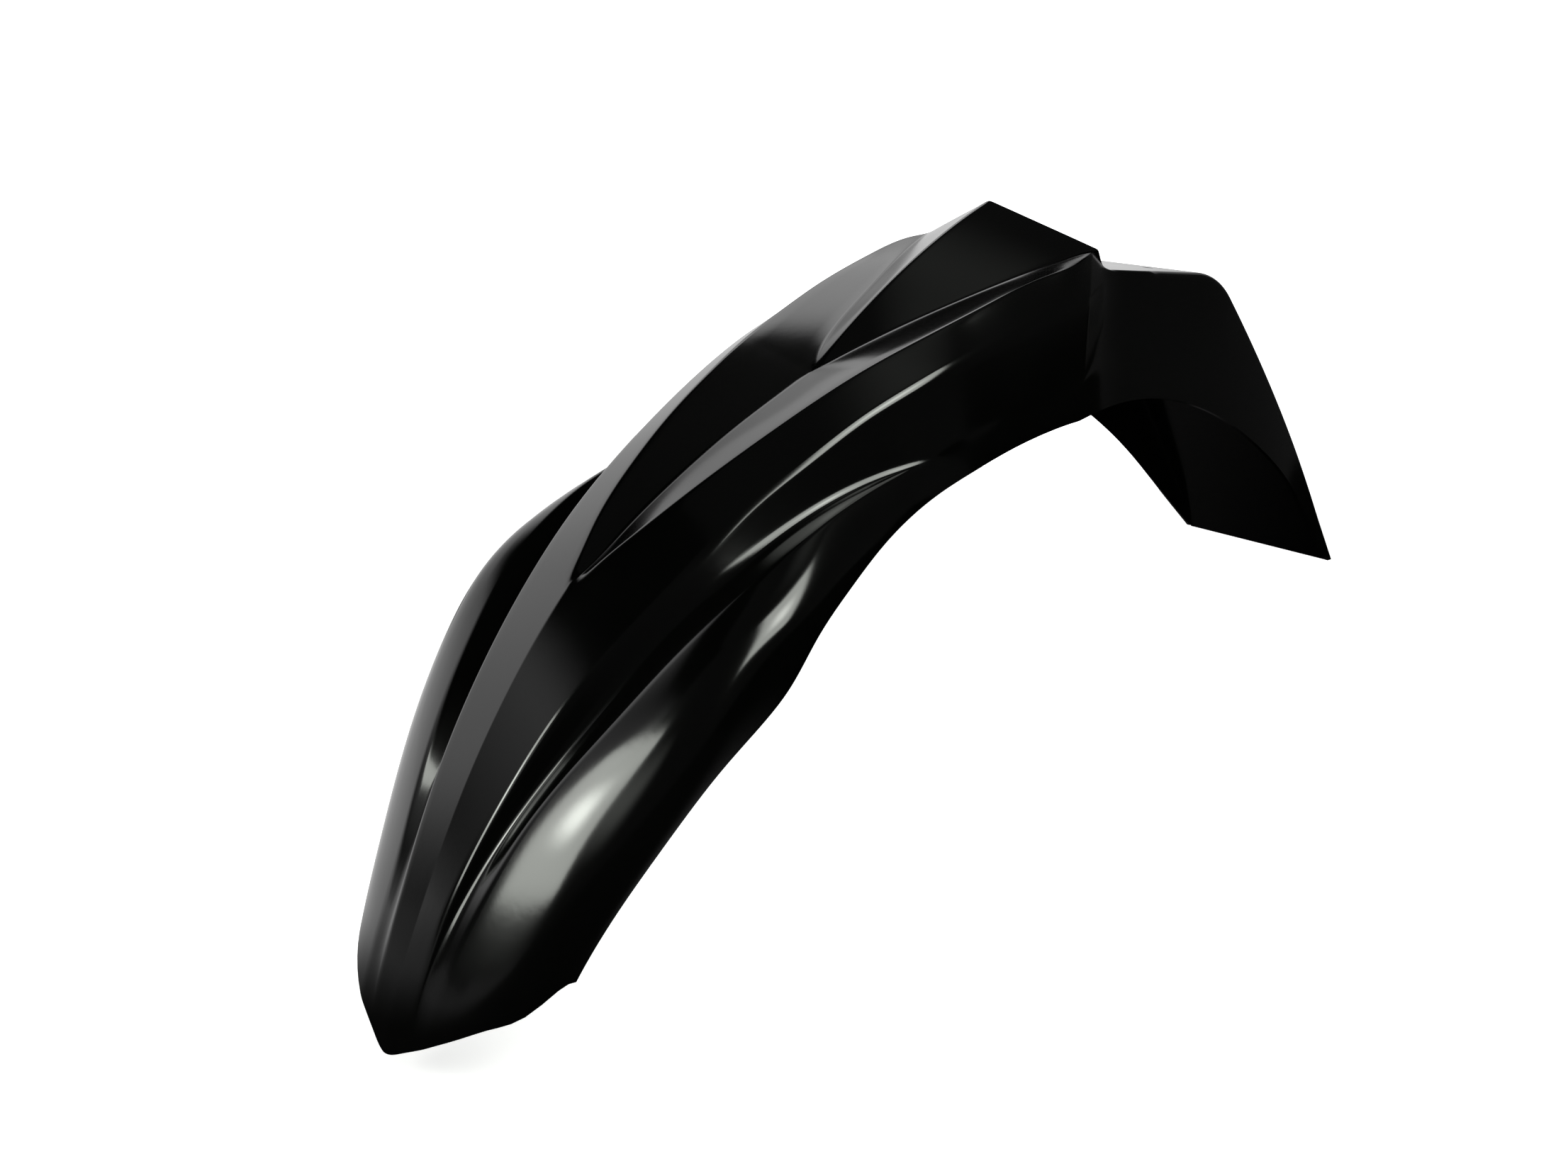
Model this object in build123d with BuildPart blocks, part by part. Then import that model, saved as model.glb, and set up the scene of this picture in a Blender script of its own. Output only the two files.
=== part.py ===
from build123d import *
import math
import os

# Motorcycle front mudguard, moulded in one piece, in millimetres.
# X points forward to the tip, Y to the rider's left, Z up along the fork legs.
# The origin is the middle of the four bolt holes on the top face of the mounting deck.

# Wall, bevel along the ridge, how far the inside runs on below the trim edge, and the reach of every cut
WALL = 2.5
RIDGE_BEVEL = 3.5
TRIM_OVERRUN = 8.0
CUT_REACH = 150.0

# Arch centre: every cross section of the front lies in a plane through this axis
ARCH_X = 110.0
ARCH_Z = -330.0

# Nose, from ahead of the tip back to the point where the centre ridge splits.
# Each feature line lists angle round the arch, half width and radius.
NOSE_CENTRE = ((-22, 0, 389), (-10, 0, 363), (0, 0, 341),
               (10, 0, 325), (20, 0, 313.5), (31, 0, 305.4))
NOSE_RIDGE = ((-22, 12, 389.5), (-10, 17, 363.6), (0, 22, 340.7),
              (10, 30.5, 322), (20, 39, 307.6), (31, 50.5, 294.3))
NOSE_FOOT = ((-22, 19, 388.5), (-10, 21.5, 362), (0, 25.5, 336.4),
             (10, 36, 312), (20, 47.5, 293), (31, 58.5, 280))
NOSE_CREST = ((-22, 28, 387.5), (-10, 31, 361), (0, 37, 335.4),
              (10, 49.5, 316.7), (20, 66.5, 299), (31, 82, 285.8))
NOSE_BULGE = ((-22, 60, 381), (-10, 66, 357.5), (0, 79.8, 339.7),
              (10, 99.5, 321.5), (20, 116, 306), (31, 127, 290))
NOSE_TRIM = ((-22, 72.5, 348), (-10, 81.5, 324), (0, 90, 298.5),
             (10, 100, 275), (20, 109, 258.5), (31, 112.5, 242))

# Hump under the number plate, from its point back past the fork notch
HUMP_CENTRE = ((68, 0, 285), (74, 0, 300.5), (82, 0, 324.5),
               (90, 0, 352), (97, 0, 378), (104, 0, 405))
HUMP_LEDGE = ((68, 53.7, 298), (74, 59.3, 302.2), (82, 66.5, 312.3),
              (90, 71.8, 326.5), (97, 74, 336.5), (104, 76, 348))
HUMP_RIDGE = ((68, 77.3, 286.8), (74, 81, 290.6), (82, 81.5, 296.6),
              (90, 80.5, 307.3), (97, 79.5, 318), (104, 79, 329))
HUMP_TRIM = ((68, 89, 229.7), (74, 87, 230), (82, 85.5, 234),
             (90, 84.2, 240.5), (97, 83, 248.5), (104, 82, 258.5))

# Where a feature line starts or has died out, it runs on inside a flat at these shares of its width
BASE_SHARE = 0.04
LEDGE_SHARE = 0.08
TROUGH_BASE_SHARE = 0.4
FOOT_SHARE = 0.67
CREST_SHARE = 0.71
BULGE_SHARE = 0.87
FLAT_CROWN = 0.06


def on_flat(inner, outer, share, crown):
    """A point at a share of the way between two feature points, standing out by the crown."""
    wide = outer[1] - inner[1]
    tall = outer[2] - inner[2]
    length = math.hypot(wide, tall)
    half_width = inner[1] + wide * share - tall / length * crown
    radius = inner[2] + tall * share + wide / length * crown
    return inner[0], half_width, radius


def flat_line(inner_line, outer_line, share, crown):
    return tuple(on_flat(i, o, share, crown) for i, o in zip(inner_line, outer_line))


NOSE_LEDGE = flat_line(NOSE_CENTRE, NOSE_RIDGE, LEDGE_SHARE, FLAT_CROWN)
NOSE_BASE = flat_line(NOSE_CENTRE, NOSE_RIDGE, BASE_SHARE, FLAT_CROWN)
HUMP_FOOT = flat_line(HUMP_RIDGE, HUMP_TRIM, FOOT_SHARE, -FLAT_CROWN)
HUMP_CREST = flat_line(HUMP_RIDGE, HUMP_TRIM, CREST_SHARE, FLAT_CROWN)
HUMP_BULGE = flat_line(HUMP_RIDGE, HUMP_TRIM, BULGE_SHARE, FLAT_CROWN)
HUMP_POINT = on_flat(HUMP_CENTRE[0], HUMP_LEDGE[0], BASE_SHARE, FLAT_CROWN)
HUMP_BASE = (HUMP_POINT, (74, 16.6, 294), (82, 32.5, 306.3),
             (90, 50.2, 324), (97, 64.5, 343.3), (104, 72, 362))

# Trough between the two ledges, from the split back to the foot of the hump
TROUGH_CENTRE = (NOSE_CENTRE[-1], (34, 0, 298.5), (38, 0, 293.8), (46, 0, 287.8),
                 (54, 0, 284), (62, 0, 283), HUMP_CENTRE[0])
TROUGH_LEDGE = (NOSE_LEDGE[-1], (34, 8.6, 302.4), (38, 17, 299.6), (46, 29.8, 294.9),
                (54, 39.8, 293.2), (62, 47.7, 294.8), HUMP_LEDGE[0])
TROUGH_SIDE = flat_line(TROUGH_CENTRE[1:-1], TROUGH_LEDGE[1:-1], TROUGH_BASE_SHARE, FLAT_CROWN)
TROUGH_BASE = (NOSE_BASE[-1], *TROUGH_SIDE, HUMP_BASE[0])
TROUGH_RIDGE = (NOSE_RIDGE[-1], (34, 53.5, 291.5), (38, 56.7, 288.5), (46, 61.2, 285),
                (54, 67.3, 282.7), (62, 72.5, 284.3), HUMP_RIDGE[0])
TROUGH_FOOT = (NOSE_FOOT[-1], (34, 61.7, 276.8), (38, 65.5, 272.5), (46, 69.5, 264.2),
               (54, 74, 257.5), (62, 79.5, 251), HUMP_FOOT[0])
TROUGH_CREST = (NOSE_CREST[-1], (34, 85.1, 282.2), (38, 88, 277.3), (46, 89.5, 268.1),
                (54, 87.5, 258.9), (62, 85.7, 251.3), HUMP_CREST[0])
TROUGH_BULGE = (NOSE_BULGE[-1], (34, 127.7, 285.4), (38, 126.5, 278.5), (46, 117, 262.5),
                (54, 102.5, 248.5), (62, 92.8, 240.3), HUMP_BULGE[0])
TROUGH_TRIM = (NOSE_TRIM[-1], (34, 111.8, 240.7), (38, 110, 240), (46, 104, 235.6),
               (54, 97, 232.2), (62, 92, 230.6), HUMP_TRIM[0])

NOSE = (NOSE_TRIM, NOSE_BULGE, NOSE_CREST, NOSE_FOOT,
        NOSE_RIDGE, NOSE_LEDGE, NOSE_BASE, NOSE_CENTRE)
TROUGH = (TROUGH_TRIM, TROUGH_BULGE, TROUGH_CREST, TROUGH_FOOT,
          TROUGH_RIDGE, TROUGH_LEDGE, TROUGH_BASE, TROUGH_CENTRE)
HUMP = (HUMP_TRIM, HUMP_BULGE, HUMP_CREST, HUMP_FOOT,
        HUMP_RIDGE, HUMP_LEDGE, HUMP_BASE, HUMP_CENTRE)
RIDGE_PLACE = NOSE.index(NOSE_RIDGE)

# Front edge of the nose, seen from the front: height of the tip, then half width and height
NOSE_TIP_Z = -409.0
NOSE_EDGE = ((28, -396), (56, -379), (76, -363.5), (88, -343))

# Hump's back slope, mounting deck and rear flap
HUMP_BACK_X = 88.0
HUMP_BACK_Z = 33.5
DECK_FRONT_X = 51.0
DECK_REAR_X = -45.0
REAR_HALF_WIDTH = 62.0
FOLD_RADIUS = 48.0
FOLD_ANGLE = 42.0
FLAP_END = (-247.0, -199.0)

# Arched lower edge of the rear walls: place, height, half width, and height of the top face above it
REAR_ROOT = (70, -83, 73.5, 0)
FLAP_LIP = (-242, -199.6, 62, -193)
ARCH_EDGE = (REAR_ROOT, (24, -75.5, 73.5, 0), (-49, -83, 73.5, 0), (-113, -108, 73, -44),
             (-168, -141, 70, -104), (-205, -171, 65, -148), FLAP_LIP)

# Fork notch between the wide front and the narrow rear: a hollow flute, open at the side and below
NOTCH_FRONT_X = 84.0
NOTCH_FRONT_HALF = 79.5
NOTCH_REAR_X = 46.0
NOTCH_TOP_Z = -5.0
NOTCH_BOTTOM_Z = -100.0
NOTCH_BOTTOM_HALF = 75.0

# Bevel that takes the hump's shoulder down to the notch, through three of its points
SHOULDER_TOP = (66.0, 65.0, 11.0)
SHOULDER_FRONT = (84.0, 79.5, -12.0)
SHOULDER_REAR = (48.0, 62.0, -1.0)

# Bolt holes in the deck
BOLT_SPACING_X = 56.0
BOLT_SPACING_Y = 64.0
BOLT_ROWS = 2
BOLT_HOLE_RADIUS = 3.25


def radial_plane(angle):
    turn = math.radians(angle)
    normal = (math.sin(turn), 0, -math.cos(turn))
    return Plane(origin=(ARCH_X, 0, ARCH_Z), x_dir=(0, 1, 0), z_dir=normal)


def moved_in(points, depth):
    """Each corner moved inwards by the same depth from both sides that meet there."""
    normals = []
    for (ya, ra), (yb, rb) in zip(points[:-1], points[1:]):
        length = math.hypot(yb - ya, rb - ra)
        normals.append((-(rb - ra) / length, (yb - ya) / length))
    moved = []
    for i, (y, r) in enumerate(points):
        a = normals[max(i - 1, 0)]
        b = normals[min(i, len(normals) - 1)]
        share = depth / (1 + a[0] * b[0] + a[1] * b[1])
        moved.append((y + (a[0] + b[0]) * share, r + (a[1] + b[1]) * share))
    return moved


def bevelled(points, place):
    """The points with one corner cut off at the same distance on both of its sides."""
    corner = points[place]
    cut = []
    for near in (points[place - 1], points[place + 1]):
        share = RIDGE_BEVEL / math.dist(corner, near)
        cut.append(tuple(c + (n - c) * share for c, n in zip(corner, near)))
    return points[:place] + cut + points[place + 1:]


def section_path(lines, station, depth):
    """Corners of one cross section from trim edge to trim edge; the inside runs on below the trim."""
    half = bevelled([line[station][1:] for line in lines], RIDGE_PLACE)
    path = half + [(-y, r) for y, r in reversed(half[:-1])]
    if depth > 0:
        path = moved_in(path, depth)
        path[0] = (path[0][0], path[0][1] - TRIM_OVERRUN)
        path[-1] = (path[-1][0], path[-1][1] - TRIM_OVERRUN)
    return path


def front_body(depth):
    """Solid front: nose, trough and hump, cut by the hump's back slope and the deck's plane."""
    slope = math.atan2(HUMP_BACK_Z, HUMP_BACK_X - DECK_FRONT_X)
    drop = depth / math.cos(slope)
    with BuildPart() as body:
        for lines in (NOSE, TROUGH, HUMP):
            for station, row in enumerate(lines[0]):
                path = section_path(lines, station, depth)
                with BuildSketch(radial_plane(row[0])):
                    with BuildLine():
                        Polyline(*path[2:-2])
                        Bezier(path[0], path[1], path[2])
                        Bezier(path[-3], path[-2], path[-1])
                        Line(path[-1], path[0])
                    make_face()
            loft()
        with BuildSketch(Plane.XZ):
            with BuildLine():
                Polyline(
                    (DECK_FRONT_X - CUT_REACH, -depth),
                    (DECK_FRONT_X + (drop - depth) / math.tan(slope), -depth),
                    (DECK_FRONT_X + CUT_REACH / math.tan(slope), CUT_REACH - drop),
                    (DECK_FRONT_X - CUT_REACH, CUT_REACH - drop),
                    close=True,
                )
            make_face()
        extrude(amount=CUT_REACH, both=True, mode=Mode.SUBTRACT)
    return body.part


def rear_sides(depth):
    """The rear's breadth: walls that lean outwards from the top face to the arched lower edge."""
    places = [x for x, low, low_half, top in ARCH_EDGE]
    places[0] += depth
    places[-1] = FLAP_END[0]
    with BuildPart() as body:
        for place, (x, low, low_half, top) in zip(places, ARCH_EDGE):
            lean = (low_half - REAR_HALF_WIDTH) / (top - low)
            above = REAR_HALF_WIDTH - depth - lean * TRIM_OVERRUN
            below = low_half - depth + lean * TRIM_OVERRUN
            with BuildSketch(Plane.YZ.offset(place)):
                with BuildLine():
                    Polyline(
                        (above, top + TRIM_OVERRUN),
                        (below, low - TRIM_OVERRUN),
                        (-below, low - TRIM_OVERRUN),
                        (-above, top + TRIM_OVERRUN),
                        close=True,
                    )
                make_face()
        loft()
    return body.part


def rear_body(depth):
    """Solid rear: deck, fold and flap above the arched lower edge."""
    turn = math.radians(FOLD_ANGLE)
    end = (FLAP_END[0] + depth * math.sin(turn), FLAP_END[1] - depth * math.cos(turn))
    edge = [(x, low) for x, low, low_half, top in ARCH_EDGE]
    root = REAR_ROOT[0] + depth
    with BuildPart() as body:
        with BuildSketch(Plane.XZ):
            with BuildLine():
                deck = Line((root, -depth), (DECK_REAR_X, -depth))
                fold = JernArc(deck @ 1, (-1, 0), FOLD_RADIUS - depth, FOLD_ANGLE)
                flap = TangentArc(fold @ 1, end, tangent=fold % 1)
                if depth > 0:
                    low = FLAP_END[1] - CUT_REACH
                    Polyline(flap @ 1, (FLAP_END[0], low), (root, low), deck @ 0)
                else:
                    Line(flap @ 1, edge[-1])
                    Spline(*reversed(edge))
                    Line(edge[0], deck @ 0)
            make_face()
        extrude(amount=CUT_REACH, both=True)
        add(rear_sides(depth), mode=Mode.INTERSECT)
    return body.part


def notches(depth):
    """Room for the fork legs on both sides and the shoulder's bevel, grown by the wall's depth."""
    front = NOTCH_FRONT_X + depth
    half = NOTCH_FRONT_HALF - depth
    top = Vector(*SHOULDER_TOP)
    normal = (Vector(*SHOULDER_FRONT) - top).cross(Vector(*SHOULDER_REAR) - top).normalized()
    with BuildPart() as room:
        levels = ((NOTCH_BOTTOM_Z, NOTCH_BOTTOM_HALF), (NOTCH_TOP_Z + depth, REAR_HALF_WIDTH))
        for height, rear_half in levels:
            inner = rear_half - depth
            with BuildSketch(Plane.XY.offset(height)):
                with BuildLine():
                    flute = TangentArc((NOTCH_REAR_X, inner), (front, half), tangent=(1, 0))
                    Polyline(
                        flute @ 1,
                        (front, CUT_REACH),
                        (-CUT_REACH, CUT_REACH),
                        (-CUT_REACH, inner),
                        flute @ 0,
                    )
                make_face()
        loft(ruled=True)
        with BuildSketch(Plane(origin=top - normal * depth, z_dir=normal)):
            Rectangle(CUT_REACH, CUT_REACH)
        extrude(amount=CUT_REACH)
        mirror(about=Plane.XZ)
    return room.part


# The space under the mudguard, where the wheel runs
with BuildPart() as hollow:
    add(front_body(WALL))
    add(notches(WALL), mode=Mode.SUBTRACT)
    add(rear_body(WALL))

with BuildPart() as mudguard:
    add(front_body(0.0))
    add(notches(0.0), mode=Mode.SUBTRACT)
    add(rear_body(0.0))
    add(hollow.part, mode=Mode.SUBTRACT)
    # Front edge of the nose
    with BuildSketch(Plane.YZ.offset(ARCH_X)):
        with BuildLine():
            left = [(-y, z) for y, z in reversed(NOSE_EDGE)]
            edge = Spline(*left, (0, NOSE_TIP_Z), *NOSE_EDGE)
            low = NOSE_TIP_Z - CUT_REACH
            Polyline(
                edge @ 1,
                (CUT_REACH, NOSE_EDGE[-1][1]),
                (CUT_REACH, low),
                (-CUT_REACH, low),
                (-CUT_REACH, NOSE_EDGE[-1][1]),
                edge @ 0,
            )
        make_face()
    extrude(amount=NOSE_CENTRE[0][2], mode=Mode.SUBTRACT)
    # Four bolt holes through the deck
    with GridLocations(BOLT_SPACING_X, BOLT_SPACING_Y, BOLT_ROWS, BOLT_ROWS):
        Hole(BOLT_HOLE_RADIUS)

mudguard.part.label = "mudguard"
os.makedirs("parts", exist_ok=True)
export_step(mudguard.part, "parts/mudguard.step")
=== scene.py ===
import math
import bpy
import numpy as np
from mathutils import Matrix


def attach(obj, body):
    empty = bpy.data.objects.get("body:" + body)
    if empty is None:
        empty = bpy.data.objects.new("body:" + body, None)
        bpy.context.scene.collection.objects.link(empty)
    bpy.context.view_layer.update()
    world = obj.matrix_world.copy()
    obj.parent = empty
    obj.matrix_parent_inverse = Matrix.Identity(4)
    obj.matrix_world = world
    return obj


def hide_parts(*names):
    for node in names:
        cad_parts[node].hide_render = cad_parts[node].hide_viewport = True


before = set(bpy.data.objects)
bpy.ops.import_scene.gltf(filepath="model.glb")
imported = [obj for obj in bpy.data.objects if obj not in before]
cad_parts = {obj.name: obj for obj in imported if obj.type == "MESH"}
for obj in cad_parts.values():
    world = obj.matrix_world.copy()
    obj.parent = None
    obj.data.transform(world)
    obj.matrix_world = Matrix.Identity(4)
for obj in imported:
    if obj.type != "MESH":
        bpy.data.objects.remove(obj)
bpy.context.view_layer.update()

# Mudguard: one shell of black gloss plastic with a wall of 2.5 mm, injection moulded in one piece.
# Nose, side wings, trough, hump, fork notches, mounting deck and rear flap run into each other,
# and four bolts through the deck hold it under the fork clamp. Sizes here are in millimetres.
MM = 0.001
WALL = 2.5
ARCH_CENTRE = (110.0, -330.0)

# Creases of the front, from the tip back: angle round the arch centre, half width, radius.
CENTRE_NOSE = (
    (-22, 0, 389), (-10, 0, 363), (0, 0, 340.4), (10, 0, 324.5), (20, 0, 313.5), (31, 0, 305.4))
CENTRE_TROUGH = (
    (31, 0, 305.4), (34, 0, 298.5), (38, 0, 293.8), (46, 0, 287.8), (54, 0, 284), (62, 0, 283), (68, 0, 285))
CENTRE_HUMP = (
    (68, 0, 285), (74, 0, 300.5), (82, 0, 324.5), (90, 0, 352), (97, 0, 378), (104, 0, 405))
BASE_HUMP = (
    (68, 2.1, 285.6), (74, 16.6, 294), (82, 32.5, 306.3), (90, 50.2, 324), (97, 64.5, 343.3), (104, 72, 362))
LEDGE = (
    (31, 4.0, 304.5), (34, 8.6, 302.4), (38, 17, 299.6), (46, 29.8, 294.9), (54, 39.8, 293.2),
    (62, 47.7, 294.8), (68, 53.7, 298), (74, 59.3, 302.2), (82, 66.5, 312.3), (90, 71.8, 326.5),
    (93, 74, 332.8), (95, 71, 338), (97, 67, 342), (104, 74, 358))
RIDGE = (
    (-22, 12, 388.6), (-10, 17.3, 362.3), (0, 22, 340.9), (10, 30.5, 322.4), (20, 39, 307.7),
    (31, 50.5, 294.3), (38, 56.7, 288.5), (46, 61.2, 285), (54, 67.3, 282.7), (62, 72.5, 284.3),
    (68, 77.3, 286.8), (74, 81, 290.6), (82, 81.5, 296.6), (90, 80.5, 307.3), (97, 79.5, 318), (104, 79, 329))
FOOT = (
    (-22, 19, 388.5), (-10, 21.5, 362), (0, 25.5, 336.4), (10, 36, 312), (20, 47.5, 293),
    (31, 58.5, 280), (38, 65.5, 272.5), (46, 69.5, 264.2), (54, 74, 257.5), (62, 79.5, 251),
    (68, 85.1, 249.4), (74, 85.0, 250.3), (82, 84.2, 254.9), (90, 83, 263.1), (97, 81.8, 271.4), (104, 81, 280.1))
CREST = (
    (-22, 28, 387.8), (-10, 31.6, 361.7), (0, 38.4, 336.5), (10, 51.1, 317.9), (20, 68.6, 300.6),
    (31, 82, 285.8), (38, 88, 277.3), (46, 89.5, 268.1), (54, 87.5, 258.9), (62, 85.7, 251.3),
    (68, 85.6, 247.2), (74, 85.3, 247.9), (82, 84.3, 252.4), (90, 83.1, 260.4), (97, 82, 268.7), (104, 81.1, 277.2))
BULGE = (
    (-22, 60, 381), (-10, 70, 354.5), (0, 99, 323), (10, 121.5, 302.4), (20, 130.8, 292.8),
    (31, 125.8, 290.4), (38, 124.0, 273.4), (46, 112.2, 257.8), (54, 98.4, 245.3), (62, 92.8, 240.3),
    (68, 87.6, 237.5), (74, 86.3, 237.5), (82, 85, 241.6), (90, 83.8, 248.8), (97, 82.6, 256.4), (104, 81.6, 264.5))
TRIM = (
    (-22, 72.5, 348), (-10, 81.5, 324), (0, 90, 298.5), (10, 100, 275), (20, 109, 258.5),
    (31, 112.5, 242), (38, 110, 240), (46, 104, 235.6), (54, 97, 232.2), (62, 92, 230.6),
    (68, 89, 229.7), (74, 87, 230), (82, 85.5, 234), (90, 84.2, 240.5), (97, 83, 247.8), (104, 82, 255.5))
# Angles where the centre ridge parts into two ledges, where the trough draws in, and where the hump starts.
RIDGE_PARTS = 31.0
TROUGH_DRAWS_IN = 58.0
HUMP_START = 68.0
# Place of the ledge between centre and ridge on the nose, and of the base between centre and ledge.
LEDGE_SHARE = 0.08
BASE_SHARE_NOSE, BASE_SHARE_TROUGH, BASE_SHARE_HUMP = 0.5, 0.4, 0.039


def smoothstep(t):
    """From 0 to 1 as t goes, level at both ends: three t squared less two t cubed."""
    t = np.clip(t, 0, 1)
    return t * t * (3 - 2 * t)


def curve_through(keys, values):
    """Smoothest cubic through the values: second slopes from one linear solve, then one cubic per interval."""
    t = np.array(keys, float)
    v = np.array(values, float)
    h = np.diff(t)
    n = len(t)
    i = np.arange(1, n - 1)
    matrix = np.eye(n)
    matrix[i, i - 1] = h[:-1]
    matrix[i, i] = 2 * (h[:-1] + h[1:])
    matrix[i, i + 1] = h[1:]
    right = np.zeros(n)
    right[i] = 6 * (np.diff(v)[1:] / h[1:] - np.diff(v)[:-1] / h[:-1])
    m = np.linalg.solve(matrix, right)

    def at(x):
        """The cubic of the interval that holds x, from the values and second slopes at its two ends."""
        k = np.clip(np.searchsorted(t, x) - 1, 0, n - 2)
        a, b, w = t[k + 1] - x, x - t[k], h[k]
        bend = (m[k] * a**3 + m[k + 1] * b**3) / (6 * w)
        return bend + (v[k] / w - m[k] * w / 6) * a + (v[k + 1] / w - m[k + 1] * w / 6) * b

    return at


def crease(stations):
    """A crease as half width and radius for any angle, each a smooth curve through its stations."""
    angle, half_width, radius = np.array(stations, float).T
    wide, tall = curve_through(angle, half_width), curve_through(angle, radius)
    return lambda a: np.stack([wide(a), tall(a)], -1)


centre_nose, centre_trough, centre_hump, base_hump, ledge_line, ridge_line = [
    crease(c) for c in (CENTRE_NOSE, CENTRE_TROUGH, CENTRE_HUMP, BASE_HUMP, LEDGE, RIDGE)]
outer_lines = [crease(c) for c in (FOOT, CREST, BULGE, TRIM)]


def corners(a):
    """The eight corners of the half section at each angle, from the centre out to the trim."""
    nose = (a <= RIDGE_PARTS)[..., None]
    hump = (a > HUMP_START)[..., None]
    centre = np.where(nose, centre_nose(a), np.where(hump, centre_hump(a), centre_trough(a)))
    ridge = ridge_line(a)
    ledge = np.where(nose, centre + LEDGE_SHARE * (ridge - centre), ledge_line(a))
    late = smoothstep((a - TROUGH_DRAWS_IN) / (HUMP_START - TROUGH_DRAWS_IN))[..., None]
    trough_share = BASE_SHARE_TROUGH + (BASE_SHARE_HUMP - BASE_SHARE_TROUGH) * late
    share = np.where(nose, BASE_SHARE_NOSE, trough_share)
    base = np.where(hump, base_hump(a), centre + share * (ledge - centre))
    return [centre, base, ledge, ridge, *(line(a) for line in outer_lines)]


# Rounding on each side of a corner: centre, base, ledge, ridge, foot, crest. It ends short of the next corner.
ROUNDS = (2.2, 2.0, 1.8, 3.0, 5.0, 2.5)
MOST_OF_RUN = 0.48


def toward(p, q, distance):
    """The point at a distance from p on the way to q, but not past about the middle."""
    gap = q - p
    length = np.linalg.norm(gap, axis=-1, keepdims=True)
    return p + gap * np.minimum(distance / np.maximum(length, 1e-9), MOST_OF_RUN)


def parabola(t, start, corner, end):
    """From start to end, setting out to the corner and arriving from it: (1-t)^2, 2t(1-t) and t^2 as weights."""
    return (1 - t)**2 * start + 2 * t * (1 - t) * corner + t**2 * end


# Columns of the grid: each corner's rounding, then the straight run after it; the wing follows the crest.
CORNER_COLUMNS = (4, 5, 5, 8, 7, 5)
RUN_COLUMNS = (20, 4, 6, 6, 6, 12)
BASE_AT, RIDGE_AT, CREST_AT, BULGE_AT, TRIM_AT = 1, 3, 5, 6, 7
column_at, column_kind, column_place = [], [], []
for k, (n_corner, n_run) in enumerate(zip(CORNER_COLUMNS, RUN_COLUMNS)):
    rounding = np.linspace(0.5 if k == 0 else 0.0, 1.0, n_corner)
    run = np.linspace(0, 1, n_run + 1)[1:] if k == CREST_AT else np.linspace(0, 1, n_run + 2)[1:-1]
    column_at += [k] * (n_corner + n_run)
    column_kind += ["corner"] * n_corner + ["wing" if k == CREST_AT else "run"] * n_run
    column_place += [*rounding, *run]
column_at, column_kind, column_place = map(np.array, (column_at, column_kind, column_place))
COLUMNS = len(column_place)
column = np.arange(COLUMNS)


def section(a):
    """Half width and radius for angles a (rows by columns): straight runs between the corners, a parabola at
    each corner that leaves and meets the runs without a kink, and one long parabola over the wing."""
    out = np.zeros(a.shape + (2,))
    for k, kind in sorted(set(zip(column_at.tolist(), column_kind.tolist()))):
        here = np.nonzero((column_at == k) & (column_kind == kind))[0]
        p = corners(a[:, here])
        t = column_place[here][None, :, None]
        inside = p[1] * np.array([-1, 1]) if k == 0 else p[k - 1]
        end = toward(p[k], p[k + 1], ROUNDS[k])
        if kind == "corner":
            out[:, here] = parabola(t, toward(p[k], inside, ROUNDS[k]), p[k], end)
        elif kind == "run":
            out[:, here] = end + t * (toward(p[k + 1], p[k], ROUNDS[k + 1]) - end)
        else:
            out[:, here] = parabola(t, end, p[BULGE_AT], p[TRIM_AT])
    return out


def front_points(a):
    """Section points turned into place: x and z from angle and radius round the arch centre, y the half width."""
    s = section(a)
    turn = np.radians(a)
    return np.stack([ARCH_CENTRE[0] + s[..., 1] * np.cos(turn), s[..., 0],
                     ARCH_CENTRE[1] + s[..., 1] * np.sin(turn)], -1)


def angle_where(low, high, side):
    """The angle in each column where side() turns from negative to positive, by halving the interval."""
    low, high = np.full((1, COLUMNS), low), np.full((1, COLUMNS), high)
    for _ in range(40):
        middle = (low + high) / 2
        past = side(front_points(middle)[0])[None] > 0
        low, high = np.where(past, low, middle), np.where(past, middle, high)
    return ((low + high) / 2)[0]


# Front edge of the nose, half width and height, and where the front ends: on the hump's back slope along the
# roof, and at the fork notch along the walls.
NOSE_EDGE = ((0, -408.5), (14, -403.2), (28, -395.2), (56, -378), (66, -371.5), (80, -360), (88, -344.5))
NOSE_ANGLES, BACK_ANGLES = (-21.5, 25.0), (72.0, 103.9)
HUMP_BACK = (88.0, 33.5)
DECK_FRONT = 51.0
SHOULDER_X = 64.0
NOTCH_FRONT = 84.0
edge_y, edge_z = np.array(NOSE_EDGE).T
nose_edge = curve_through([*-edge_y[:0:-1], *edge_y], [*edge_z[:0:-1], *edge_z])
front_angle = angle_where(*NOSE_ANGLES, lambda p: p[:, 2] - nose_edge(np.minimum(p[:, 1], edge_y[-1])))
base_column, ridge_column = [np.nonzero(column_at == k)[0][0] + CORNER_COLUMNS[k] // 2 for k in (BASE_AT, RIDGE_AT)]
down_wall = smoothstep((column - base_column) / (ridge_column - base_column))
on_wall = column > base_column
end_x = SHOULDER_X + (NOTCH_FRONT - SHOULDER_X) * down_wall
back_slope = HUMP_BACK[1] / (HUMP_BACK[0] - DECK_FRONT)
slope_angle = angle_where(*BACK_ANGLES, lambda p: p[:, 2] - (p[:, 0] - DECK_FRONT) * back_slope)
wall_angle = angle_where(*BACK_ANGLES, lambda p: end_x - p[:, 0])
back_angle = np.where(on_wall, wall_angle, slope_angle)

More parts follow.
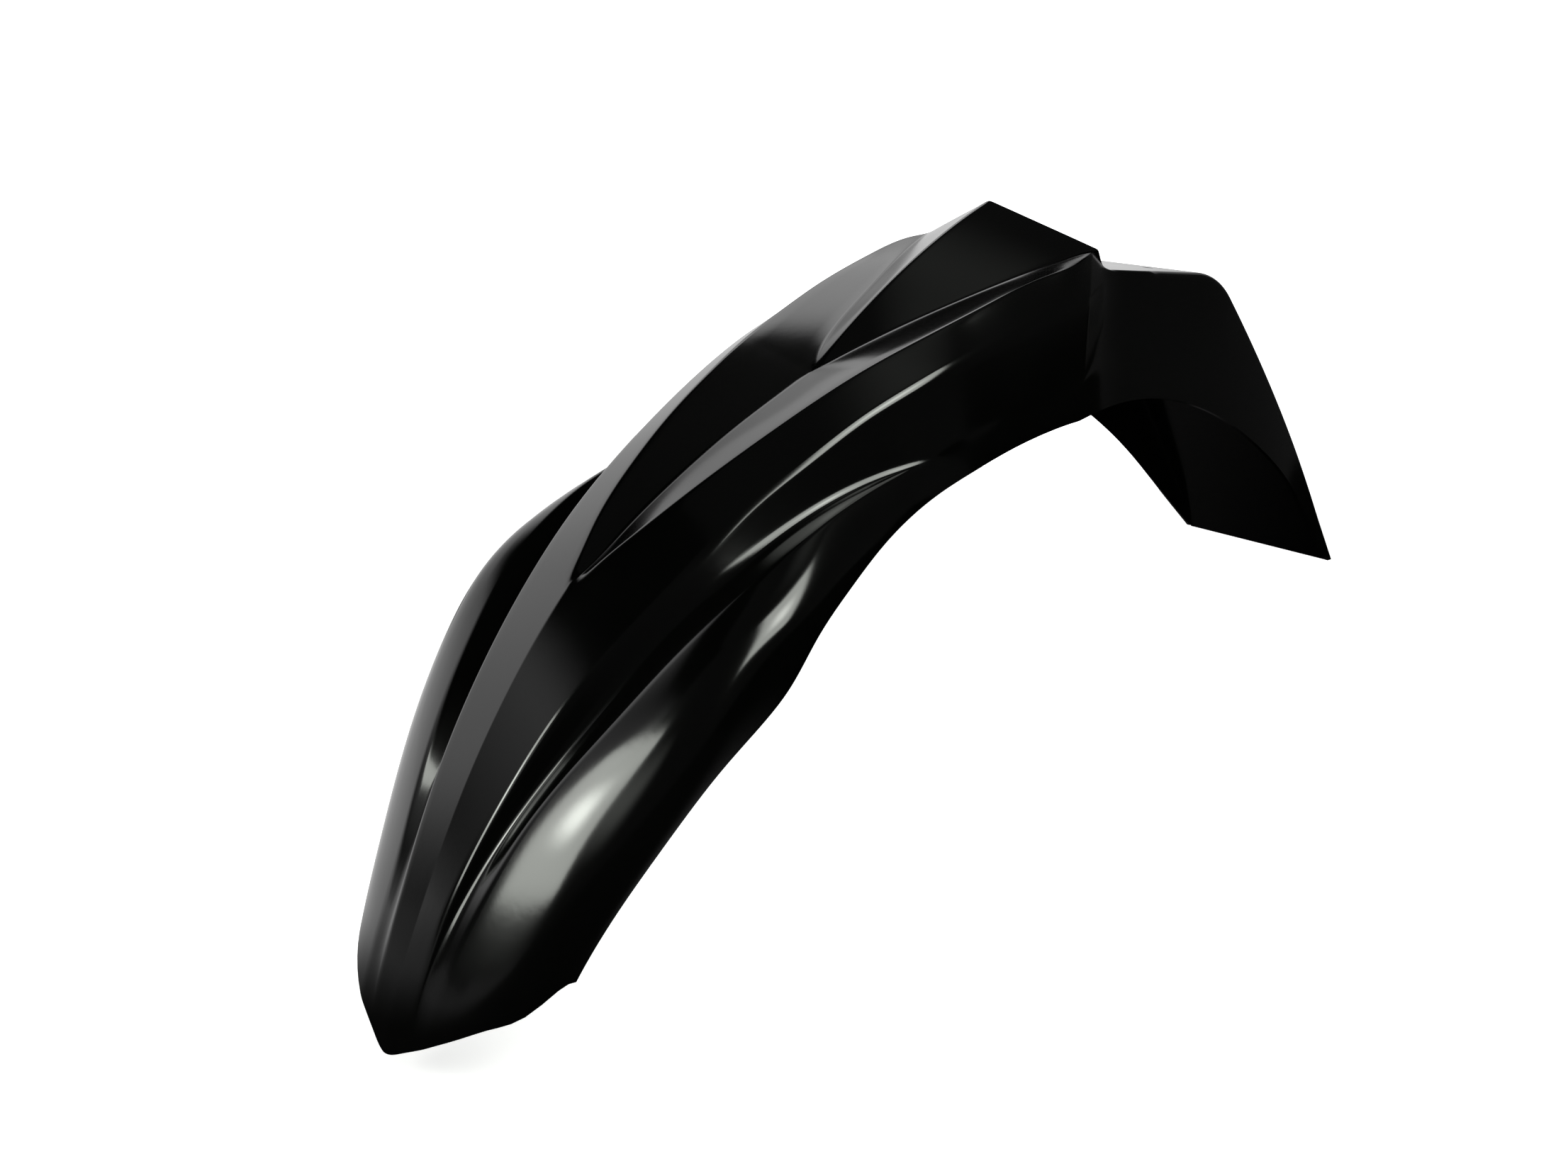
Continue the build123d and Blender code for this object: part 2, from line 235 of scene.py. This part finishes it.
# Rows of the front from nose to hump, stopping short of its end by the rounding of that edge.
ROWS_NOSE, ROWS_TROUGH, ROWS_HUMP = 68, 58, 53
EDGE_ROUND = 1.6
EDGE_RADIUS = 330.0
near_end = back_angle - np.degrees(EDGE_ROUND / EDGE_RADIUS)
nose_rows = np.linspace(0, 1, ROWS_NOSE)[:, None]
trough_rows = np.linspace(0, 1, ROWS_TROUGH + 1)[1:, None]
hump_rows = np.linspace(0, 1, ROWS_HUMP + 1)[1:, None]
front = front_points(np.concatenate([
    front_angle + (RIDGE_PARTS - front_angle) * nose_rows,
    RIDGE_PARTS + (HUMP_START - RIDGE_PARTS) * trough_rows + np.zeros(COLUMNS),
    HUMP_START + (near_end - HUMP_START) * hump_rows]))
front_end = front_points(back_angle[None])[0]

# Rear: deck, fold and flap in side view, and the arched lower edge of their walls as place, height, half width.
REAR_HALF = 62.0
DECK_REAR = -45.0
FOLD_RADIUS = 48.0
FOLD_ANGLE = math.radians(42.0)
FLAP_END = (-247.0, -199.0)
ARCH_EDGE = ((70, -83, 73.5), (24, -75.5, 73.5), (-49, -83, 73.5), (-113, -108, 73), (-168, -141, 70),
             (-205, -171, 65), (-242, -199.6, 62))
fold_end = np.array([DECK_REAR - FOLD_RADIUS * math.sin(FOLD_ANGLE), -FOLD_RADIUS * (1 - math.cos(FOLD_ANGLE))])
fold_way = np.array([-math.cos(FOLD_ANGLE), -math.sin(FOLD_ANGLE)])
fold_side = np.array([fold_way[1], -fold_way[0]])
chord = np.array(FLAP_END) - fold_end
flap_radius = chord @ chord / (2 * chord @ fold_side)
flap_length = 2 * flap_radius * math.asin(np.linalg.norm(chord) / (2 * flap_radius))
fold_length = FOLD_RADIUS * FOLD_ANGLE


def profile(w):
    """x and z at distance w behind the deck's rear edge: flat deck, the fold's arc, then the flap's wide arc."""
    f = np.clip(w, 0, fold_length) / FOLD_RADIUS
    g = np.clip(w - fold_length, 0, flap_length) / flap_radius
    x = DECK_REAR - np.minimum(w, 0) - FOLD_RADIUS * np.sin(f)
    z = -FOLD_RADIUS * (1 - np.cos(f))
    x = x + flap_radius * (np.sin(g) * fold_way[0] + (1 - np.cos(g)) * fold_side[0])
    z = z + flap_radius * (np.sin(g) * fold_way[1] + (1 - np.cos(g)) * fold_side[1])
    return x, z


arch = np.array(ARCH_EDGE, float)
arch_z_at, arch_y_at = [curve_through(arch[::-1, 0], arch[::-1, k]) for k in (1, 2)]
reach = np.concatenate([[0], np.cumsum(np.linalg.norm(np.diff(arch[:, :2], axis=0), axis=1))])
arch_along = [curve_through(reach, arch[:, k]) for k in range(3)]
deck_reach = float(np.interp(-DECK_REAR, -arch[:, 0], reach))


def lower_edge(w, x):
    """The wall's lower edge: straight below the deck, then shared out along the arch to the flap's lip."""
    share = np.clip(w / (fold_length + flap_length), 0, 1)
    r = deck_reach + (reach[-1] - deck_reach) * share
    behind = w > 0
    under = np.clip(x, arch[-1, 0], arch[0, 0])
    return np.stack([np.where(behind, arch_along[0](r), x), np.where(behind, arch_along[2](r), arch_y_at(under)),
                     np.where(behind, arch_along[1](r), arch_z_at(under))], -1)


# Bolt holes in the deck: place ahead, place aside, radius. Rows and columns of the deck close up round them, and
# the columns stop where the widest corner rounding starts.
BOLT_X, BOLT_Y, BOLT_RADIUS = 28.0, 32.0, 3.25
CORNER_ROUND_DECK, CORNER_ROUND_FLAP, CORNER_CHANGE_X = 2.0, 6.0, 8.0
MOST_OF_WALL = 0.4
FOLD_ROWS, FLAP_ROWS = 14, 37
hole_steps = BOLT_RADIUS * np.linspace(1, -1, 5)
deck_rows = np.concatenate([[47, 43.5, 40, 36.5], BOLT_X + hole_steps, np.linspace(20, -20, 11),
                            -BOLT_X + hole_steps, [-36, -40]])
deck_columns = np.concatenate([[0, 2, 4, 6], [9, 12, 15, 18, 21, 24, 26.4], BOLT_Y - hole_steps,
                               [37.6, 40.4, 43.0, 45.6, 48.2, 50.8, 53.3, 55.5]])
N_DECK = len(deck_columns)
N_CORNER = ridge_column - 1 - N_DECK
N_WALL = COLUMNS - N_DECK - N_CORNER
rear_w = np.concatenate([DECK_REAR - deck_rows, np.linspace(0, fold_length, FOLD_ROWS),
                         fold_length + flap_length * np.linspace(0, 1, FLAP_ROWS + 1)[1:]])


def rear_points(w):
    """Rear section at distance w (rows by columns): flat across the deck or flap, a parabola at the corner, and
    the wall straight down to the lower edge."""
    x, z = profile(w)
    top = np.stack([x, np.full_like(x, REAR_HALF), z], -1)
    low = lower_edge(w, x)
    rounding = np.interp(-x, [-CORNER_CHANGE_X, 0], [CORNER_ROUND_DECK, CORNER_ROUND_FLAP])[..., None]
    inward = top - rounding * np.array([0, 1, 0])
    fall = np.linalg.norm(low - top, axis=-1, keepdims=True)
    down = top + (low - top) * np.minimum(rounding, MOST_OF_WALL * fall) / np.maximum(fall, 1e-9)
    out = top.copy()
    out[:, :N_DECK, 1] = deck_columns
    c = slice(N_DECK, N_DECK + N_CORNER)
    out[:, c] = parabola(np.linspace(0, 1, N_CORNER)[None, :, None], inward[:, c], top[:, c], down[:, c])
    c = slice(N_DECK + N_CORNER, COLUMNS)
    out[:, c] = down[:, c] + np.linspace(0, 1, N_WALL + 1)[None, 1:, None] * (low[:, c] - down[:, c])
    return out


# The deck's rows bend forward down the walls to the notch, which is rounded more there than on the deck.
NOTCH_REAR = 46.0
NOTCH_ROUND_DECK, NOTCH_ROUND_WALL = 6.0, 15.0
rear_start = DECK_FRONT + (NOTCH_REAR - DECK_FRONT) * down_wall
notch_round = NOTCH_ROUND_DECK + (NOTCH_ROUND_WALL - NOTCH_ROUND_DECK) * down_wall
first_w = DECK_REAR - (rear_start - notch_round)
wall_w = np.where((rear_w < 0)[:, None], first_w * (rear_w / rear_w[0])[:, None], rear_w[:, None])
rear = rear_points(np.where(on_wall, wall_w, rear_w[:, None]))
rear_corner = rear_points(DECK_REAR - np.where(on_wall, rear_start, DECK_FRONT)[None])[0]

# Between front and rear: hump's back slope and the notch for the fork leg, rounded into both
ROWS_EDGE, ROWS_SLOPE, ROWS_NOTCH = 4, 12, 9
leave = toward(front_end, rear_corner, EDGE_ROUND)
arrive = toward(rear_corner, front_end, np.linalg.norm(rear[0] - rear_corner, axis=-1, keepdims=True))
t = np.linspace(0, 1, ROWS_EDGE + 1)[1:, None, None]
edge = parabola(t, front[-1], front_end, leave)
t = np.linspace(0, 1, ROWS_SLOPE + 2)[1:-1, None, None]
slope = leave + t * (arrive - leave)
t = np.linspace(0, 1, ROWS_NOTCH + 1)[:-1, None, None]
notch = parabola(t, arrive, rear_corner, rear[0])
half = np.concatenate([front, edge, slope, notch, rear])

# Bolt holes: the grid squares round each are drawn out into circles, fading with distance
HOLE_REACH = 2.2
ON_DECK = 0.01
for hole_x in (BOLT_X, -BOLT_X):
    hole = np.array([hole_x, BOLT_Y])
    away = half[..., :2] - hole
    square = np.abs(away).max(-1)
    circle = np.linalg.norm(away, axis=-1)
    flat = (np.abs(half[..., 2]) < ON_DECK) & (column < N_DECK)
    fade = np.clip((HOLE_REACH * BOLT_RADIUS - square) / ((HOLE_REACH - 1) * BOLT_RADIUS), 0, 1)
    grow = np.where(flat & (circle > 1e-6), 1 - fade + fade * square / np.maximum(circle, 1e-6), 1.0)
    near = (square < HOLE_REACH * BOLT_RADIUS)[..., None]
    half[..., :2] = np.where(near, hole + away * grow[..., None], half[..., :2])

# Outside from the half and its mirror image; inside moved in by the wall and evened out a little
INSIDE_EVENING = 6
grid = np.concatenate([half[:, :0:-1] * np.array([1, -1, 1]), half], axis=1)
rows, cols = grid.shape[:2]
normal = np.cross(np.gradient(grid, axis=1), np.gradient(grid, axis=0))
normal /= np.maximum(np.linalg.norm(normal, axis=-1, keepdims=True), 1e-12)
inner = grid - WALL * normal
for _ in range(INSIDE_EVENING):
    inner[1:-1] = (inner[:-2] + 2 * inner[1:-1] + inner[2:]) / 4
    inner[:, 1:-1] = (inner[:, :-2] + 2 * inner[:, 1:-1] + inner[:, 2:]) / 4

# Faces: squares outside, the same turned over inside, and a strip along every open edge and round each hole
HOLE_INSIDE = 0.98
ids = np.arange(rows * cols).reshape(rows, cols)
quads = np.stack([ids[:-1, 1:], ids[1:, 1:], ids[1:, :-1], ids[:-1, :-1]], -1)
middle = (grid[:-1, :-1] + grid[1:, 1:] + grid[1:, :-1] + grid[:-1, 1:]) / 4
to_hole = np.hypot(np.abs(middle[..., 0]) - BOLT_X, np.abs(middle[..., 1]) - BOLT_Y)
quads = quads[~((to_hole < HOLE_INSIDE * BOLT_RADIUS) & (np.abs(middle[..., 2]) < ON_DECK))]
sides = np.concatenate([quads[:, [0, 1]], quads[:, [1, 2]], quads[:, [2, 3]], quads[:, [3, 0]]])
to_inside = rows * cols
side_key = np.sort(sides, axis=1) @ np.array([to_inside, 1])
_, first, count = np.unique(side_key, return_index=True, return_counts=True)
rim = sides[first[count == 1]]
strip = np.stack([rim[:, 1], rim[:, 0], rim[:, 0] + to_inside, rim[:, 1] + to_inside], -1)
points = np.concatenate([grid.reshape(-1, 3), inner.reshape(-1, 3)]) * MM
faces = np.concatenate([quads, quads[:, ::-1] + to_inside, strip])
used = np.zeros(len(points), bool)
used[faces.ravel()] = True
renumber = np.cumsum(used) - 1
points, faces = points[used], renumber[faces]


def add_object(name, points, faces):
    """A mesh object at the origin, from points in metres and faces by number."""
    mesh = bpy.data.meshes.new(name)
    mesh.from_pydata(np.asarray(points).tolist(), [], np.asarray(faces).tolist())
    made = bpy.data.objects.new(name, mesh)
    bpy.context.scene.collection.objects.link(made)
    return made


# Smooth faces, with a sharp edge on both sides of the rim
shell = add_object("mudguard_shell", points, faces)
mesh = shell.data
mesh.polygons.foreach_set("use_smooth", np.ones(len(mesh.polygons), bool))
ends = np.zeros(len(mesh.edges) * 2, int)
mesh.edges.foreach_get("vertices", ends)
ends = ends.reshape(-1, 2)
sharp = np.zeros(len(ends), bool)
for shift in (0, to_inside):
    on_rim = np.zeros(len(points), bool)
    on_rim[renumber[np.unique(rim) + shift]] = True
    sharp |= on_rim[ends].all(1)
mesh.attributes.new("sharp_edge", "BOOLEAN", "EDGE").data.foreach_set("value", sharp)


def new_tree(name):
    """A new material with its node tree."""
    material = bpy.data.materials.new(name)
    material.use_nodes = True
    return material, material.node_tree


def node(tree, kind, inputs, **settings):
    """One new node: its settings, then its inputs by name or number, linked to a socket or set to a value."""
    made = tree.nodes.new(kind)
    for name, value in settings.items():
        setattr(made, name, value)
    for key, value in inputs.items():
        if isinstance(value, bpy.types.NodeSocket):
            tree.links.new(value, made.inputs[key])
        else:
            made.inputs[key].default_value = value
    return made


def graded(tree, value, start, stop, low=0.0, high=1.0, shape="SMOOTHSTEP"):
    """A value carried from start and stop to low and high, and held level outside them."""
    return node(tree, "ShaderNodeMapRange", {"Value": value, "From Min": start, "From Max": stop, "To Min": low,
                                             "To Max": high}, interpolation_type=shape).outputs["Result"]


# Gloss plastic: black all through, polished by the mould. The polish wavers a little from place to place, and
# flow in the mould leaves the face very slightly uneven.
BLACK_DEEP, BLACK_LIGHT = (0.00035, 0.00038, 0.00036, 1), (0.0006, 0.00066, 0.0006, 1)
POLISH_FINE, POLISH_DULL = 0.09, 0.15
plastic, tree = new_tree("gloss_black_plastic")
bsdf = tree.nodes["Principled BSDF"]
bsdf.inputs["IOR"].default_value = 1.5
spot = node(tree, "ShaderNodeTexCoord", {}).outputs["Object"]
cloud = node(tree, "ShaderNodeTexNoise", {"Vector": spot, "Scale": 22.0, "Detail": 4.0, "Roughness": 0.55})
polish = graded(tree, cloud.outputs["Fac"], 0.0, 1.0, POLISH_FINE, POLISH_DULL, "LINEAR")
tint = node(tree, "ShaderNodeMix", {"Factor": cloud.outputs["Fac"], "A": BLACK_DEEP, "B": BLACK_LIGHT},
            data_type="RGBA")
ripple = node(tree, "ShaderNodeTexNoise", {"Vector": spot, "Scale": 260.0, "Detail": 2.0})
uneven = node(tree, "ShaderNodeBump", {"Strength": 0.02, "Distance": 0.0004, "Height": ripple.outputs["Fac"]})
tree.links.new(tint.outputs["Result"], bsdf.inputs["Base Color"])
tree.links.new(polish, bsdf.inputs["Roughness"])
tree.links.new(uneven.outputs["Normal"], bsdf.inputs["Normal"])
mesh.materials.append(plastic)
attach(shell, "root")
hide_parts("mudguard")

# Floor: plain pale sheet below the part, not part of it. The camera sees it white with the part's shadow;
# the gloss sees painted light on it instead, a glow of its own: dark in front as a dark room would be, and bright
# beyond the part as lit white paper would be. Metres from here on.
FLOOR_Z = -0.42
FLOOR_REACH = 30
FLOOR_PALE = (0.85, 0.85, 0.85, 1)
FLOOR_LIFT = 0.52
PAPER_EDGE_X = 0.42
PAPER_TURN = math.radians(-52.0)
# How the mirrored floor is graded: from, to, light at the first, light at the second.
PAPER_GRADE = (-0.05, 0.15, 0.2, 0.9)
AHEAD_GRADE = (-0.15, 0.15, 0.04, 1.0)
ASIDE_GRADE = (-0.05, -0.30, 0.05, 1.0)


def maths(tree, operation, *terms):
    """One Math node on numbers or sockets."""
    return node(tree, "ShaderNodeMath", dict(enumerate(terms)), operation=operation).outputs[0]


floor = add_object("floor", [(x * FLOOR_REACH, y * FLOOR_REACH, FLOOR_Z)
                             for x, y in ((-1, -1), (1, -1), (1, 1), (-1, 1))], [(0, 1, 2, 3)])
paper, tree = new_tree("floor_paper")
path = node(tree, "ShaderNodeLightPath", {}).outputs
sheet = tree.nodes["Principled BSDF"]
sheet.inputs["Base Color"].default_value = FLOOR_PALE
sheet.inputs["Roughness"].default_value = 0.9
sheet.inputs["Emission Color"].default_value = (1, 1, 1, 1)
tree.links.new(maths(tree, "MULTIPLY", path["Is Camera Ray"], FLOOR_LIFT), sheet.inputs["Emission Strength"])
spot = node(tree, "ShaderNodeTexCoord", {}).outputs["Object"]
place = node(tree, "ShaderNodeSeparateXYZ", {0: spot}).outputs
across_edge = (math.sin(PAPER_TURN), -math.cos(PAPER_TURN), 0)
past_edge = node(tree, "ShaderNodeVectorMath", {0: spot, 1: across_edge}, operation="DOT_PRODUCT").outputs["Value"]
paper_start = PAPER_EDGE_X * math.sin(PAPER_TURN)
beyond = graded(tree, maths(tree, "SUBTRACT", past_edge, paper_start), *PAPER_GRADE)
ahead = graded(tree, place["X"], *AHEAD_GRADE)
aside = graded(tree, place["Y"], *ASIDE_GRADE)
shown = maths(tree, "MULTIPLY", beyond, maths(tree, "MULTIPLY", ahead, aside))
# Painted light: the floor's own glow, seen only in the gloss, dark ahead and bright beyond the edge.
mirrored = node(tree, "ShaderNodeEmission", {"Strength": shown})
seen = node(tree, "ShaderNodeMixShader", {0: path["Is Glossy Ray"], 1: sheet.outputs["BSDF"],
                                          2: mirrored.outputs["Emission"]})
tree.links.new(seen.outputs[0], tree.nodes["Material Output"].inputs["Surface"])
floor.data.materials.append(paper)

# Backdrop: white paper standing in a wide bend round the part's far side, not part of it. It shines by painted
# light, a glow of its own that lights nothing: the camera sees it white; in the gloss it is brighter high up, dim
# at the end ahead of the nose, and fades at its top edge.
BACK_CENTRE_X, BACK_RADIUS = 0.3, 2.0
BACK_FROM, BACK_TO, BACK_STEPS = -173.0, -18.0, 46
BACK_TOP = 2.9
BACK_WHITE = 1.2
TOP_FADE = 0.65
# How the mirrored backdrop is graded, as the floor is: by height, by place along, and where its top edge lies.
HIGH_GRADE = (0.9, 1.7, 0.85, 2.0)
NOSE_END_GRADE = (-0.2, 0.84, 0.03, 0.65)
NOSE_END_X = (1.25, 1.8)
FLAP_END_GRADE = (-1.55, -1.38, 0.33, 1.0)
TOP_AHEAD = (-0.42, 0.10, BACK_TOP, 1.25)
TOP_BEHIND = (-1.06, -0.86, 1.5, BACK_TOP)
bend = np.radians(np.linspace(BACK_FROM, BACK_TO, BACK_STEPS))
ring = np.stack([BACK_CENTRE_X + BACK_RADIUS * np.cos(bend), BACK_RADIUS * np.sin(bend)], -1)
standing = np.concatenate([np.column_stack([ring, np.full(BACK_STEPS, z)]) for z in (FLOOR_Z, BACK_TOP)])
step = np.arange(BACK_STEPS - 1)
backdrop = add_object("backdrop", standing,
                      np.stack([step, step + BACK_STEPS, step + BACK_STEPS + 1, step + 1], -1))
backdrop.visible_diffuse = False
glow, tree = new_tree("backdrop_paper")
tree.nodes.remove(tree.nodes["Principled BSDF"])
spot = node(tree, "ShaderNodeTexCoord", {}).outputs["Object"]
place = node(tree, "ShaderNodeSeparateXYZ", {0: spot}).outputs
high_up = graded(tree, place["Z"], *HIGH_GRADE)
nose_end = graded(tree, place["Z"], *NOSE_END_GRADE, "LINEAR")
at_nose_end = graded(tree, place["X"], *NOSE_END_X)
level = node(tree, "ShaderNodeMix", {"Factor": at_nose_end, "A": high_up, "B": nose_end}).outputs["Result"]
top = maths(tree, "MINIMUM", graded(tree, place["X"], *TOP_AHEAD), graded(tree, place["X"], *TOP_BEHIND))
below_top = maths(tree, "SUBTRACT", top, place["Z"])
faded = maths(tree, "MULTIPLY", level, graded(tree, below_top, 0.0, TOP_FADE))
# Painted light: the backdrop's glow in the gloss, graded by height and by place along.
in_gloss = maths(tree, "MULTIPLY", faded, graded(tree, place["X"], *FLAP_END_GRADE))
to_camera = node(tree, "ShaderNodeLightPath", {}).outputs["Is Camera Ray"]
white = node(tree, "ShaderNodeEmission", {"Strength": maths(tree, "MULTIPLY_ADD", to_camera, BACK_WHITE, in_gloss)})
tree.links.new(white.outputs["Emission"], tree.nodes["Material Output"].inputs["Surface"])
backdrop.data.materials.append(glow)

# Room: the air round the part, white where the camera looks past the floor, soft daylight on the floor,
# dark in the gloss.
ROOM_DAYLIGHT, ROOM_IN_GLOSS, ROOM_TO_CAMERA = 0.6, 0.035, 1.0
world = bpy.data.worlds.new("studio")
bpy.context.scene.world = world
world.use_nodes = True
tree = world.node_tree
path = node(tree, "ShaderNodeLightPath", {}).outputs
gloss_part = maths(tree, "MULTIPLY_ADD", path["Is Glossy Ray"], ROOM_IN_GLOSS - ROOM_DAYLIGHT, ROOM_DAYLIGHT)
room = maths(tree, "MULTIPLY_ADD", path["Is Camera Ray"], ROOM_TO_CAMERA - ROOM_DAYLIGHT, gloss_part)
tree.nodes["Background"].inputs["Color"].default_value = (1, 1, 1, 1)
tree.links.new(room, tree.nodes["Background"].inputs["Strength"])

# Soft lights: lamp boxes with a white cloth front. One ahead of the nose with a weak one round it, a tall one on
# the camera's right and a weak one overhead, each even but for a bright middle and soft edges.
LAMP_COLOUR = (0.96, 1.0, 0.93)
CORE_FROM, CORE_TO = 0.02, 0.28


def softbox(name, centre, across, upward, size, radiance, edge, low, lean=0.0):
    """A soft light whose face spans two directions and may lean sideways. With the distance from the middle as a
    share of each side: a fade over the edge share, times low plus the rest of the light in the bright middle."""
    across = np.array(across) / np.linalg.norm(across)
    outward = np.cross(across, upward)
    outward /= np.linalg.norm(outward)
    upward = np.cross(outward, across)
    wide = size[0] + abs(lean) * size[1]
    lamp = bpy.data.lights.new(name, "AREA")
    lamp.shape = "RECTANGLE"
    lamp.size, lamp.size_y = wide, size[1]
    lamp.energy = radiance * math.pi * wide * size[1]
    lamp.color = LAMP_COLOUR
    lamp.use_nodes = True
    tree = lamp.node_tree
    face = node(tree, "ShaderNodeNewGeometry", {}).outputs["Parametric"]
    edges, cores = [], []
    for share, (a, b) in zip(edge, ((wide / size[0], lean * size[1] / size[0]), (0.0, 1.0))):
        along = node(tree, "ShaderNodeVectorMath", {0: face, 1: (a, b, 0)}, operation="DOT_PRODUCT")
        away = maths(tree, "ABSOLUTE", maths(tree, "SUBTRACT", along.outputs["Value"], (a + b) / 2))
        edges.append(graded(tree, away, 0.5 - share, 0.5, 1.0, 0.0))
        cores.append(graded(tree, away, CORE_FROM, CORE_TO, 1.0, 0.0))
    core = maths(tree, "MULTIPLY_ADD", maths(tree, "MULTIPLY", *cores), 1 - low, low)
    light = maths(tree, "MULTIPLY", maths(tree, "MULTIPLY", *edges), core)
    tree.links.new(light, tree.nodes["Emission"].inputs["Strength"])
    made = bpy.data.objects.new(name, lamp)
    made.matrix_world = Matrix([*np.column_stack([across, upward, outward, centre]).tolist(), (0, 0, 0, 1)])
    bpy.context.scene.collection.objects.link(made)


softbox("wide_light", centre=(1.340, -0.200, 0.032), across=(0.275, 0.961, 0), upward=(0, 0, 1),
        size=(0.43, 0.58), radiance=24.0, edge=(0.07, 0.04), low=0.33, lean=0.14)
softbox("fill_light", centre=(1.50, 0.16, 0.08), across=(-0.05, 1, 0), upward=(0, 0, 1),
        size=(0.60, 0.55), radiance=1.0, edge=(0.45, 0.45), low=1.0)
softbox("tall_light", centre=(0.269, 0.884, 0.781), across=(-0.993, -0.070, 0.098), upward=(0.118, -0.732, 0.672),
        size=(0.72, 1.39), radiance=15.0, edge=(0.2, 0.12), low=0.5)
softbox("top_light", centre=(0.20, -0.05, 1.50), across=(0.7, 0.7, 0), upward=(-0.7, 0.7, 0),
        size=(0.8, 0.8), radiance=0.22, edge=(0.5, 0.5), low=1.0)

# Camera: stands ahead of the part on its left, a little above the nose, and looks slightly down, as the
# photograph does. Its three directions and its place are given in the part's own frame.
CAMERA_RIGHT = (-0.75348515, 0.65224649, 0.08267191)
CAMERA_UP = (-0.09491257, -0.23233713, 0.96799332)
CAMERA_BACK = (0.65057799, 0.72152199, 0.23696897)
CAMERA_PLACE = (0.869136, 0.714697, 0.045364)
cam_data = bpy.data.cameras.new("camera")
cam_data.lens = 40.0
cam_data.sensor_width = 36.0
cam = bpy.data.objects.new("camera", cam_data)
stand = np.column_stack([CAMERA_RIGHT, CAMERA_UP, CAMERA_BACK, CAMERA_PLACE])
cam.matrix_world = Matrix([*stand.tolist(), (0, 0, 0, 1)])
bpy.context.scene.collection.objects.link(cam)
bpy.context.scene.camera = cam
bpy.context.scene.view_settings.view_transform = "Standard"
